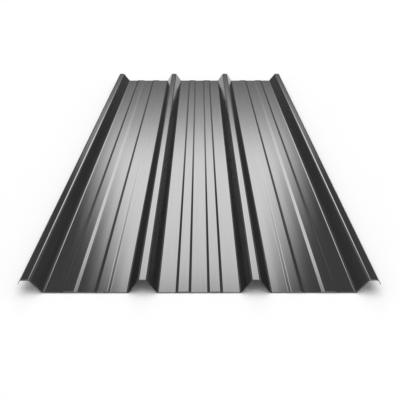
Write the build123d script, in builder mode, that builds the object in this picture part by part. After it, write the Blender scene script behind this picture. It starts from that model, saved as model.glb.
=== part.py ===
from build123d import *
import os

# A roll-formed trapezoidal roofing sheet, bent from one strip of steel. It lies flat, ribs up.
# X runs across the sheet, Y along the ribs and Z up. The origin is the middle of the underside.
# All sizes are millimetres, and every height and width is that of the sheet's underside.

# The whole sheet
sheet_length = 2200.0
sheet_thickness = 1.5
cover_width = 1000.0  # between the crown centres of the two edge ribs, which lap the next sheets

# The ribs: two inner ones, and one at each edge
rib_height = 45.0
crown_width = 24.2  # of an inner rib
edge_crown_width = 25.5
inner_rib_pitch = 327.0  # between the crown centres of the two inner ribs
web_run = 30.4  # how far an inner rib's side leans over from foot to crown
edge_web_run = 33.8  # the same, on the one full side of an edge rib
lip_run = 6.8  # the short outer side of an edge rib, across
lip_drop = 14.0  # and down from the crown
rib_bend_radius = 8.0  # inside the bend

# The two low stiffeners pressed into each pan
stiffener_height = 2.4
stiffener_base_width = 45.5
stiffener_top_width = 29.0
middle_stiffener_offset = 46.0  # from the middle of the middle pan to the middle of a stiffener
outer_stiffener_offset = 48.5  # the same, in an outer pan
stiffener_bend_radius = 6.0  # inside the bend

# Where the ribs stand, from the middle of the sheet
inner_rib_x = inner_rib_pitch / 2
edge_rib_x = cover_width / 2
inner_foot_x = inner_rib_x + crown_width / 2 + web_run
edge_foot_x = edge_rib_x - edge_crown_width / 2 - edge_web_run
outer_pan_x = (inner_foot_x + edge_foot_x) / 2


def foot(x):
    """A corner at the level of the pan, where the underside is outside the bend."""
    return (x, 0), rib_bend_radius + sheet_thickness


def crown(x):
    """A corner at the level of the crown, where the underside is inside the bend."""
    return (x, rib_height), rib_bend_radius


def inner_rib(x):
    """The four corners of a full rib that stands over x."""
    half_crown = crown_width / 2
    half_base = half_crown + web_run
    return [foot(x - half_base), crown(x - half_crown), crown(x + half_crown), foot(x + half_base)]


def stiffener(x):
    """The four corners of a stiffener that stands over x."""
    half_top = stiffener_top_width / 2
    half_base = stiffener_base_width / 2
    outer_radius = stiffener_bend_radius + sheet_thickness
    return [
        ((x - half_base, 0), outer_radius),
        ((x - half_top, stiffener_height), stiffener_bend_radius),
        ((x + half_top, stiffener_height), stiffener_bend_radius),
        ((x + half_base, 0), outer_radius),
    ]


def half_section():
    """The corners of the underside's right half, each with its bend radius."""
    half_edge_crown = edge_crown_width / 2
    return [
        *stiffener(middle_stiffener_offset),
        *inner_rib(inner_rib_x),
        *stiffener(outer_pan_x - outer_stiffener_offset),
        *stiffener(outer_pan_x + outer_stiffener_offset),
        foot(edge_foot_x),
        crown(edge_rib_x - half_edge_crown),
        crown(edge_rib_x + half_edge_crown),
    ]


corners = half_section()
lip_end = (edge_rib_x + edge_crown_width / 2 + lip_run, rib_height - lip_drop)

with BuildPart() as profiled_sheet:
    with BuildSketch(Plane.XZ) as section:
        with BuildLine():
            FilletPolyline(
                (0, 0),
                *[point for point, radius in corners],
                lip_end,
                radius=[radius for point, radius in corners],
            )
            offset(amount=sheet_thickness, side=Side.LEFT)
        make_face()
        mirror(about=Plane.YZ)
    extrude(amount=sheet_length / 2, both=True)

profiled_sheet.part.label = "profiled_sheet"

os.makedirs("parts", exist_ok=True)
export_step(profiled_sheet.part, "parts/profiled_sheet.step")
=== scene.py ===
import math
from itertools import groupby

import bpy
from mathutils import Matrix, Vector, noise


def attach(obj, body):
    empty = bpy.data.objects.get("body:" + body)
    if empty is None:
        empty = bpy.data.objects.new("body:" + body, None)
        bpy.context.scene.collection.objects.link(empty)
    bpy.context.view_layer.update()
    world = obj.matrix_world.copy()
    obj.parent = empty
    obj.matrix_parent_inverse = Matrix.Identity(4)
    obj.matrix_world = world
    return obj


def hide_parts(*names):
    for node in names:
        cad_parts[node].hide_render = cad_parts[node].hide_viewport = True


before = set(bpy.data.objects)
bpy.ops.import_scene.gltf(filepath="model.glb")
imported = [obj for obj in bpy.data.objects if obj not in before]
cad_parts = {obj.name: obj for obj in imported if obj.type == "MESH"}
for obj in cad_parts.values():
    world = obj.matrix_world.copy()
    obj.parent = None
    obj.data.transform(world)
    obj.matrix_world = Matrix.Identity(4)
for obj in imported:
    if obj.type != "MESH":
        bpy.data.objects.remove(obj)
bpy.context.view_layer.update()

# The sheet's sizes in metres, as in the part's source. Heights and widths are those of its underside.
SHEET_LENGTH = 2.200
THICKNESS = 0.0015
COVER_WIDTH = 1.000
RIB_HEIGHT = 0.045
CROWN_WIDTH = 0.0242
EDGE_CROWN_WIDTH = 0.0255
INNER_RIB_PITCH = 0.327
WEB_RUN = 0.0304
EDGE_WEB_RUN = 0.0338
LIP_RUN = 0.0068
LIP_DROP = 0.014
RIB_BEND_RADIUS = 0.008
STIFFENER_HEIGHT = 0.0024
STIFFENER_BASE_WIDTH = 0.0455
STIFFENER_TOP_WIDTH = 0.029
MIDDLE_STIFFENER_OFFSET = 0.046
OUTER_STIFFENER_OFFSET = 0.0485
STIFFENER_BEND_RADIUS = 0.006

# The mesh
BEND_STEP = math.radians(4)
FEWEST_BEND_STEPS = 3
LONGEST_STRIP = 0.005
BEND_BORDER = 0.0006  # a narrow strip beside each bend keeps its shading off the flat
SHORTEST_DIVIDED_RUN = 4 * BEND_BORDER
STATIONS = 70  # lengths that the mesh is divided into between its ends
END_STRIP = 0.004  # from each end of the sheet to the nearest station
CHAMFER = 0.00012
CHAMFER_STRETCH = 1.5  # its length along the sheet, as a multiple of its depth

# The gentle wave in the flats of the pans
WAVE_HEIGHT = 0.00006
WAVE_UNEVENNESS = 0.66  # the share of its height that a noise of 1 adds to it
BROAD_WAVE = (11, 3.2, 3.1)  # its scale across and along the sheet, and the slice of noise it is taken from
SHORT_WAVE = (30, 8, 7.7)
SHORT_WAVE_SHARE = 0.5  # its height, as a share of the broad one's
WIDE_FLAT = 0.045  # a flat narrower than this waves less
LEVEL_SLOPE = 0.001  # a face that leans less than this is level
PAN_LEVEL = 0.001  # and is in a pan where its underside lies lower than this

# The wear on the bends, with a painted highlight along them, as 1 at the crowns
LEAST_WEAR_AND_HIGHLIGHT = 0.35  # at the level of the pans
SAME_FACING = 0.9999  # cosine of the angle between two normals that belong to one flat

# The steel
NOISE_RANGE = (0.25, 0.75)  # nearly all of a noise's values lie in it
STREAK_SCALE = (420, 5, 420)  # of the fine rolling streaks
STREAK_DETAIL = 3.0
STREAK_DEPTH = 0.000004
PATCH_SCALE = (60, 9, 60)  # of the uneven wear
PATCH_DETAIL = 2.0
STEEL_TONE = (0.235, 0.265)
STEEL_ROUGHNESS = (0.09, 0.13)
STEEL_EDGE_TINT = 0.6  # the weathered coating shines less at a grazing angle than bare metal does
# The bends' rub lightens the tone: wear, and partly a painted highlight along the bends
WEAR_AND_HIGHLIGHT_PATCHINESS = (0.6, 1.4)
WEAR_AND_HIGHLIGHT_BRIGHTENING = 0.03
RUB_POLISH = 0.02
MARGIN = (0.0012, 0.0024)  # distance from a cut up to which the painted shade is full, and from which it is gone
MARGIN_RAGGEDNESS = 0.0008
MARGIN_PAINTED_SHADE = 0.25  # of the painted shade beside each cut, as a share of the steel's tone

# The cut edges, near black as painted shade along each cut
CUT_GRAIN_SCALE = (900, 900, 900)
CUT_GRAIN_DETAIL = 2.0
CUT_GRAIN_DEPTH = 0.00005
CUT_PAINTED_SHADE_TONE = (0.012, 0.03)
CUT_ROUGHNESS = (0.5, 0.65)
CUT_SHINE = 0.2

# The floor
FLOOR_REACH = 30
FLOOR_GAP = 0.0002
FLOOR_TONE = 0.9

# The studio: a dome, white at the horizon, dimmer above it and brightest overhead, and past each end of
# the sheet a dim wall with a softbox in it. A tone is a share of the radiance, by the elevation in
# degrees. The light adds up to 1 on a level face, so that a level matt colour renders as it is written.
DOME_RADIANCE = 1.705
DOME_TONES = [(0, 0.59), (8, 0.59), (14, 0.3), (40, 0.3), (60, 1), (90, 1)]
SOFTBOX_RADIANCE = 2.85  # of the softboxes and of the walls
WALL_TONES = [
    (0, 0.25), (2, 0.19), (4, 0.055), (8, 0.08), (14, 0.125), (19, 0.125), (22, 0.05), (32, 0.058),
    (90, 0.055),
]
SOFTBOX_TONES = [
    (0, 0.25), (2, 0.19), (4, 0.055), (14, 0.125), (17, 0.23), (20, 0.48), (22, 0.79), (24, 0.95),
    (30, 0.85), (36, 0.71), (38, 0.49), (42, 0.19), (90, 0.05),
]
SOFTBOX_EDGE = (7.6, 15.9)  # azimuth from a softbox's middle where it starts to fade, and where it ends
SOFTBOX_EDGE_ELEVATION = 30  # where the edge is as given
SOFTBOX_TAPER = 0.15  # how much it narrows upward
SOFTBOX_FALLOFF = 1.6  # the power of the fade at its edge, where more than 1 narrows the bright part
WALL_EDGE = (50, 56)  # angle from the sheet's length where a wall starts to fade, and where the dome is plain
WALL_SKIRT = (0.178, 0.235)  # rise over sideways run up to which a wall is darker, and where it is plain
WALL_SKIRT_TONE = 0.45  # as a share of the plain wall's
NEAR_WALL_FOOT = (8, 11)  # the wall on the camera's side starts this high, so that the horizon there is pale
STUDIO_TURN = 0.33  # degrees, to the left of the sheet's length
SMALLEST_DIVISOR = 0.0001

# The camera, placed from the middle of the sheet's front edge at the level of the pans' upper side
CAMERA_ACROSS = 0.0013
CAMERA_BEFORE = 1.23583
CAMERA_ABOVE = 0.97309
CAMERA_PITCH = 28.383  # degrees below level
CAMERA_YAW = -0.0386  # degrees
FOCAL_LENGTH = 48.22
SENSOR_WIDTH = 36


def half_section():
    """The corners of the underside's right half, as (x, z, bend radius of the underside)."""
    half_crown = CROWN_WIDTH / 2
    half_edge_crown = EDGE_CROWN_WIDTH / 2
    rib_x = INNER_RIB_PITCH / 2
    edge_x = COVER_WIDTH / 2
    half_base = half_crown + WEB_RUN
    edge_foot = edge_x - half_edge_crown - EDGE_WEB_RUN
    outer_pan = (rib_x + half_base + edge_foot) / 2
    foot_radius = RIB_BEND_RADIUS + THICKNESS

    def stiffener(x):
        base, top = STIFFENER_BASE_WIDTH / 2, STIFFENER_TOP_WIDTH / 2
        outer_radius = STIFFENER_BEND_RADIUS + THICKNESS
        return [
            (x - base, 0, outer_radius),
            (x - top, STIFFENER_HEIGHT, STIFFENER_BEND_RADIUS),
            (x + top, STIFFENER_HEIGHT, STIFFENER_BEND_RADIUS),
            (x + base, 0, outer_radius),
        ]

    return [
        *stiffener(MIDDLE_STIFFENER_OFFSET),
        (rib_x - half_base, 0, foot_radius),
        (rib_x - half_crown, RIB_HEIGHT, RIB_BEND_RADIUS),
        (rib_x + half_crown, RIB_HEIGHT, RIB_BEND_RADIUS),
        (rib_x + half_base, 0, foot_radius),
        *stiffener(outer_pan - OUTER_STIFFENER_OFFSET),
        *stiffener(outer_pan + OUTER_STIFFENER_OFFSET),
        (edge_foot, 0, foot_radius),
        (edge_x - half_edge_crown, RIB_HEIGHT, RIB_BEND_RADIUS),
        (edge_x + half_edge_crown, RIB_HEIGHT, RIB_BEND_RADIUS),
        (edge_x + half_edge_crown + LIP_RUN, RIB_HEIGHT - LIP_DROP, 0),
    ]


def left_of(direction):
    """Points out of the section's upper side, where the direction runs along it from left to right."""
    return Vector((-direction.y, direction.x))


def rounded(corners):
    """Walks the corners with round bends. Gives the points of the underside, each with its upward normal."""
    places = [Vector((x, z)) for x, z, radius in corners]
    radii = [radius for x, z, radius in corners]
    directions = [(b - a).normalized() for a, b in zip(places, places[1:])]
    points = [(places[0], left_of(directions[0]))]
    for place, radius, before, after in zip(places[1:], radii[1:], directions, directions[1:]):
        turn = math.atan2(before.x * after.y - before.y * after.x, before.dot(after))
        side = math.copysign(1, turn)
        up = left_of(before)
        start = place - before * radius * math.tan(abs(turn) / 2)
        centre = start + up * radius * side
        steps = max(FEWEST_BEND_STEPS, math.ceil(abs(turn) / BEND_STEP))
        for k in range(steps + 1):
            angle = turn * k / steps
            cos, sin = math.cos(angle), math.sin(angle)
            normal = Vector((up.x * cos - up.y * sin, up.x * sin + up.y * cos))
            points.append((centre - normal * radius * side, normal))
    points.append((places[-1], left_of(directions[-1])))
    return points


def filled(points):
    """Divides the straight runs, so that the flats can take a gentle wave."""
    dense = [points[0]]
    for (a, normal_a), (b, normal_b) in zip(points, points[1:]):
        length = (b - a).length
        shares = [1.0]
        if length > SHORTEST_DIVIDED_RUN:
            inner = length - 2 * BEND_BORDER
            count = math.ceil(inner / LONGEST_STRIP)
            shares = [(BEND_BORDER + inner * k / count) / length for k in range(count + 1)] + [1.0]
        for share in shares:
            dense.append((a.lerp(b, share), normal_a.lerp(normal_b, share).normalized()))
    return dense


def in_pan_flat(entry):
    """Whether a point, given with its normal, lies in a level flat of a pan."""
    point, normal = entry
    return abs(normal.x) < LEVEL_SLOPE and point.y < PAN_LEVEL


def flatness(line):
    """For each point, 0 at the bends and on the slopes, rising to 1 well inside a flat of a pan."""
    result = []
    for level, run in groupby(line, in_pan_flat):
        xs = [point.x for point, normal in run]
        width = xs[-1] - xs[0]
        for x in xs:
            share = (x - xs[0]) / width if level and width else 0.0
            result.append(math.sin(math.pi * share) ** 2 * min(1.0, width / WIDE_FLAT))
    return result


def cut_distances(line):
    """For each point, how far it lies from the nearer side edge, measured along the strip."""
    run = [0.0]
    for (a, _), (b, _) in zip(line, line[1:]):
        run.append(run[-1] + (b - a).length)
    return [min(r, run[-1] - r) for r in run]


def bend_wear_and_highlight(line):
    """For each point, how much its bend is rubbed by handling and stacking and lit by a painted highlight: 1
    at a crown, less lower down.
    """
    result = []
    for k, (point, normal) in enumerate(line):
        beside = line[max(k - 1, 0)][1], line[min(k + 1, len(line) - 1)][1]
        bent = any(normal.dot(other) < SAME_FACING for other in beside)
        result.append(LEAST_WEAR_AND_HIGHLIGHT + (1 - LEAST_WEAR_AND_HIGHLIGHT) * point.y / RIB_HEIGHT if bent else 0.0)
    return result


def station_places():
    """Where along the sheet the mesh has a ring of points, with a chamfer at each end."""
    half = SHEET_LENGTH / 2
    inset = half - END_STRIP
    chamfer_start = half - CHAMFER * CHAMFER_STRETCH
    between = [-inset + 2 * inset * k / STATIONS for k in range(STATIONS + 1)]
    return [-half, -chamfer_start, *between, chamfer_start, half]


def wave(x, y, flat):
    """How far the sheet stands above its true shape there."""
    def noise_of(across, along, depth):
        return noise.noise(Vector((x * across, y * along, depth)))

    uneven = noise_of(*BROAD_WAVE) + SHORT_WAVE_SHARE * noise_of(*SHORT_WAVE)
    return WAVE_HEIGHT * flat * (1 + WAVE_UNEVENNESS * uneven)


def section_ring(line, flats, y):
    """The points around the section at one station: the underside, and back along the upper side."""
    trim = CHAMFER if abs(y) == SHEET_LENGTH / 2 else 0
    under, upper = [], []
    for (point, normal), flat in zip(line, flats):
        rise = wave(point.x, y, flat)
        for side, depth in ((under, trim), (upper, THICKNESS - trim)):
            place = point + normal * depth
            side.append((place.x, y, place.y + rise))
    return under + upper[::-1]


def skin_faces(count, rings):
    """The faces between the rings and across both ends, and for each whether the shear cut it.

    A ring has count points on its underside and as many on its upper side.
    """
    faces, cut = [], []
    ring = 2 * count
    for station in range(rings - 1):
        a, b = station * ring, (station + 1) * ring
        for k in range(ring):
            m = (k + 1) % ring
            faces.append((a + k, b + k, b + m, a + m))
            cut.append(k in (count - 1, ring - 1))
    last = (rings - 1) * ring
    for k in range(count - 1):
        faces.append((k, k + 1, ring - 2 - k, ring - 1 - k))
        faces.append((last + k, last + ring - 1 - k, last + ring - 2 - k, last + k + 1))
        cut += [True, True]
    return faces, cut


def link_new(name, data):
    """Puts a mesh or a camera into the scene."""
    thing = bpy.data.objects.new(name, data)
    bpy.context.scene.collection.objects.link(thing)
    return thing


def make_sheet():
    """The whole sheet as one closed mesh. Its cut edges take the second material."""
    right = half_section()
    left = [(-x, z, radius) for x, z, radius in reversed(right)]
    line = filled(rounded(left + right))
    flats, from_side, wear_and_highlight = flatness(line), cut_distances(line), bend_wear_and_highlight(line)
    stations = station_places()
    verts, from_cut = [], []
    for y in stations:
        verts += section_ring(line, flats, y)
        from_end = SHEET_LENGTH / 2 - abs(y)
        distances = [min(from_end, side) for side in from_side]
        from_cut += distances + distances[::-1]
    faces, cut = skin_faces(len(line), len(stations))

    mesh = bpy.data.meshes.new("profiled_sheet_skin")
    mesh.from_pydata(verts, [], faces)
    mesh.update()
    attributes = {"from_cut": from_cut, "wear_and_highlight": (wear_and_highlight + wear_and_highlight[::-1]) * len(stations)}
    for name, values in attributes.items():
        mesh.attributes.new(name, "FLOAT", "POINT").data.foreach_set("value", values)
    for poly, is_cut in zip(mesh.polygons, cut):
        poly.material_index = 1 if is_cut else 0
        poly.use_smooth = not is_cut
    return link_new("profiled_sheet_skin", mesh)


def plain_grey(tone):
    return (tone, tone, tone, 1)


def new_node(tree, kind, inputs=(), **settings):
    """Adds a node. An input is set to a number, a colour or a vector, or linked to another node's output."""
    node = tree.nodes.new(kind)
    for name, value in settings.items():
        setattr(node, name, value)
    for name, value in dict(inputs).items():
        if isinstance(value, bpy.types.NodeSocket):
            tree.links.new(value, node.inputs[name])
        else:
            node.inputs[name].default_value = value
    return node


def math_on(tree, operation, *values):
    return new_node(tree, "ShaderNodeMath", enumerate(values), operation=operation).outputs[0]


def remap(tree, value, from_range, to_range=(0, 1), smooth=False):
    """Maps one range of a value onto another, and holds it there past both ends."""
    ends = dict(zip(("From Min", "From Max", "To Min", "To Max"), (*from_range, *to_range)))
    curve = "SMOOTHSTEP" if smooth else "LINEAR"
    return new_node(tree, "ShaderNodeMapRange", {"Value": value, **ends}, interpolation_type=curve).outputs[0]


def spread(tree, grain, to_range):
    """Spreads a noise over a range."""
    return remap(tree, grain, NOISE_RANGE, to_range)


def streaked_noise(tree, scale, detail):
    """Noise drawn out along the sheet, the way the strip ran through the rolls."""
    place = new_node(tree, "ShaderNodeTexCoord").outputs["Object"]
    stretched = new_node(tree, "ShaderNodeMapping", {"Vector": place, "Scale": scale}).outputs[0]
    grain = new_node(tree, "ShaderNodeTexNoise", {"Vector": stretched, "Scale": 1.0, "Detail": detail})
    return grain.outputs["Fac"]


def mesh_value(tree, name):
    """A value that the mesh holds for each of its points."""
    return new_node(tree, "ShaderNodeAttribute", attribute_name=name).outputs["Fac"]


def grey_from(tree, tone):
    return new_node(tree, "ShaderNodeCombineColor", {channel: tone for channel in range(3)}).outputs[0]


def relief(tree, height, depth):
    return new_node(tree, "ShaderNodeBump", {"Height": height, "Distance": depth}).outputs[0]


def new_material(name):
    """An empty material, its node tree and the surface input of its output."""
    material = bpy.data.materials.new(name)
    material.use_nodes = True
    tree = material.node_tree
    tree.nodes.clear()
    return material, tree, new_node(tree, "ShaderNodeOutputMaterial").inputs["Surface"]


def steel_material():
    """Dark zinc-coated steel with a satin shine, fine rolling streaks, rubbed bends with a painted highlight,
    and painted shade beside each cut.
    """
    material, tree, surface = new_material("zinc_coated_steel")
    streaks = streaked_noise(tree, STREAK_SCALE, STREAK_DETAIL)
    patches = streaked_noise(tree, PATCH_SCALE, PATCH_DETAIL)

    # The strip's own tone and shine, a little lighter and smoother along its bends: rubbed wear, and the
    # lighter tone partly a painted highlight
    wear_and_highlight = math_on(tree, "MULTIPLY", mesh_value(tree, "wear_and_highlight"), spread(tree, patches, WEAR_AND_HIGHLIGHT_PATCHINESS))
    tone = math_on(tree, "MULTIPLY_ADD", wear_and_highlight, WEAR_AND_HIGHLIGHT_BRIGHTENING, spread(tree, streaks, STEEL_TONE))
    satin = math_on(tree, "MULTIPLY_ADD", wear_and_highlight, -RUB_POLISH, spread(tree, streaks, STEEL_ROUGHNESS))

    # Painted shade: the tone darkens in a narrow margin beside each cut, which thickens the dark line along
    # the cut edges
    ragged = math_on(tree, "MULTIPLY", patches, MARGIN_RAGGEDNESS)
    distance = math_on(tree, "ADD", mesh_value(tree, "from_cut"), ragged)
    painted_margin_shade = remap(tree, distance, MARGIN, (MARGIN_PAINTED_SHADE, 1), smooth=True)

    shader = new_node(tree, "ShaderNodeBsdfPrincipled", {
        "Metallic": 1.0,
        "Specular Tint": plain_grey(STEEL_EDGE_TINT),
        "Base Color": grey_from(tree, math_on(tree, "MULTIPLY", tone, painted_margin_shade)),
        "Roughness": satin,
        "Normal": relief(tree, streaks, STREAK_DEPTH),
    })
    tree.links.new(shader.outputs[0], surface)
    return material


def cut_edge_material():
    """The sheared edge of the strip, dull, and near black as painted shade along the cut."""
    material, tree, surface = new_material("cut_edge")
    grain = streaked_noise(tree, CUT_GRAIN_SCALE, CUT_GRAIN_DETAIL)
    shader = new_node(tree, "ShaderNodeBsdfPrincipled", {
        "Specular IOR Level": CUT_SHINE,
        "Base Color": grey_from(tree, spread(tree, grain, CUT_PAINTED_SHADE_TONE)),
        "Roughness": spread(tree, grain, CUT_ROUGHNESS),
        "Normal": relief(tree, grain, CUT_GRAIN_DEPTH),
    })
    tree.links.new(shader.outputs[0], surface)
    return material


def floor_material():
    """A pale matt floor. The camera and the metal see it white, and its shadows stay."""
    material, tree, surface = new_material("pale_floor")
    path = new_node(tree, "ShaderNodeLightPath").outputs
    seen = path["Is Camera Ray"]
    for kind in ("Is Glossy Ray", "Is Transmission Ray"):
        seen = math_on(tree, "MAXIMUM", seen, path[kind])
    pale, white = [
        new_node(tree, "ShaderNodeBsdfDiffuse", {"Color": plain_grey(tone)}).outputs[0]
        for tone in (FLOOR_TONE, 1)
    ]
    mix = new_node(tree, "ShaderNodeMixShader", {0: seen, 1: pale, 2: white})
    tree.links.new(mix.outputs[0], surface)
    return material


def make_floor():
    mesh = bpy.data.meshes.new("floor")
    signs = [(-1, -1), (1, -1), (1, 1), (-1, 1)]
    mesh.from_pydata([(x * FLOOR_REACH, y * FLOOR_REACH, -FLOOR_GAP) for x, y in signs], [], [(0, 1, 2, 3)])
    floor = link_new("floor", mesh)
    mesh.materials.append(floor_material())


def elevation_ramp(tree, rise, tones):
    """Turns the upward part of a direction into a tone."""
    node = new_node(tree, "ShaderNodeValToRGB", {0: rise})
    elements = node.color_ramp.elements
    while len(elements) < len(tones):
        elements.new(0.5)
    for element, (elevation, tone) in zip(elements, tones):
        element.position = math.sin(math.radians(elevation))
        element.color = plain_grey(tone)
    return node.outputs[0]


def over(tree, value, divisor):
    """Divides by a value that may be 0, but is never less."""
    return math_on(tree, "DIVIDE", value, math_on(tree, "MAXIMUM", divisor, SMALLEST_DIVISOR))


def studio_direction(tree):
    """The direction looked in, in the turned studio's own axes: across the sheet, along it and up."""
    place = new_node(tree, "ShaderNodeTexCoord").outputs["Generated"]
    turn = {"Vector": place, "Angle": math.radians(-STUDIO_TURN)}
    turned = new_node(tree, "ShaderNodeVectorRotate", turn, rotation_type="Z_AXIS").outputs[0]
    return new_node(tree, "ShaderNodeSeparateXYZ", {0: turned}).outputs


def softbox_share(tree, sideways, lengthways, rise):
    """1 in the middle of a softbox, and 0 past its edges."""
    at_horizon = 1 - SOFTBOX_TAPER * math.sin(math.radians(SOFTBOX_EDGE_ELEVATION))
    narrowing = math_on(tree, "MULTIPLY_ADD", rise, SOFTBOX_TAPER, at_horizon)
    slope = math_on(tree, "MULTIPLY", over(tree, sideways, lengthways), narrowing)
    start, end = [math.tan(math.radians(edge)) for edge in SOFTBOX_EDGE]
    return math_on(tree, "POWER", remap(tree, slope, (end, start), smooth=True), SOFTBOX_FALLOFF)


def wall_tone(tree, sideways, rise):
    """The tone of a wall, with its darker skirt."""
    skirt = remap(tree, over(tree, rise, sideways), WALL_SKIRT, (WALL_SKIRT_TONE, 1), smooth=True)
    plain = elevation_ramp(tree, rise, WALL_TONES)
    return new_node(tree, "ShaderNodeVectorMath", {0: plain, "Scale": skirt}, operation="SCALE").outputs[0]


def wall_share(tree, along, lengthways, rise):
    """1 inside a wall, and 0 where the dome is plain."""
    start, end = [math.cos(math.radians(edge)) for edge in WALL_EDGE]
    share = remap(tree, lengthways, (end, start), smooth=True)
    foot = [math.sin(math.radians(edge)) for edge in NEAR_WALL_FOOT]
    above_foot = remap(tree, rise, foot, smooth=True)
    far_side = math_on(tree, "GREATER_THAN", along, 0)
    return math_on(tree, "MULTIPLY", share, math_on(tree, "MAXIMUM", above_foot, far_side))


def glow(tree, tone, radiance):
    return new_node(tree, "ShaderNodeBackground", {"Color": tone, "Strength": radiance}).outputs[0]


def make_world():
    """The studio. Its light depends on the direction alone, and not on the kind of ray."""
    world = bpy.data.worlds.new("studio")
    bpy.context.scene.world = world
    world.use_nodes = True
    tree = world.node_tree
    tree.nodes.clear()
    across, along, rise = studio_direction(tree)
    sideways = math_on(tree, "ABSOLUTE", across)
    lengthways = math_on(tree, "ABSOLUTE", along)
    wall = new_node(tree, "ShaderNodeMix", {
        "Factor": softbox_share(tree, sideways, lengthways, rise),
        "A": wall_tone(tree, sideways, rise),
        "B": elevation_ramp(tree, rise, SOFTBOX_TONES),
    }, data_type="RGBA")
    light = new_node(tree, "ShaderNodeMixShader", {
        0: wall_share(tree, along, lengthways, rise),
        1: glow(tree, elevation_ramp(tree, rise, DOME_TONES), DOME_RADIANCE),
        2: glow(tree, wall.outputs["Result"], SOFTBOX_RADIANCE),
    })
    new_node(tree, "ShaderNodeOutputWorld", {"Surface": light.outputs[0]})


def make_camera():
    data = bpy.data.cameras.new("camera")
    data.sensor_width = SENSOR_WIDTH
    data.lens = FOCAL_LENGTH
    camera = link_new("camera", data)
    camera.location = (CAMERA_ACROSS, -SHEET_LENGTH / 2 - CAMERA_BEFORE, CAMERA_ABOVE + THICKNESS)
    camera.rotation_euler = (math.radians(90 - CAMERA_PITCH), 0, math.radians(CAMERA_YAW))
    bpy.context.scene.camera = camera


skin = make_sheet()
skin.data.materials.append(steel_material())
skin.data.materials.append(cut_edge_material())
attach(skin, "root")
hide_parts("profiled_sheet")

make_floor()
make_world()
make_camera()
bpy.context.scene.view_settings.view_transform = "Standard"
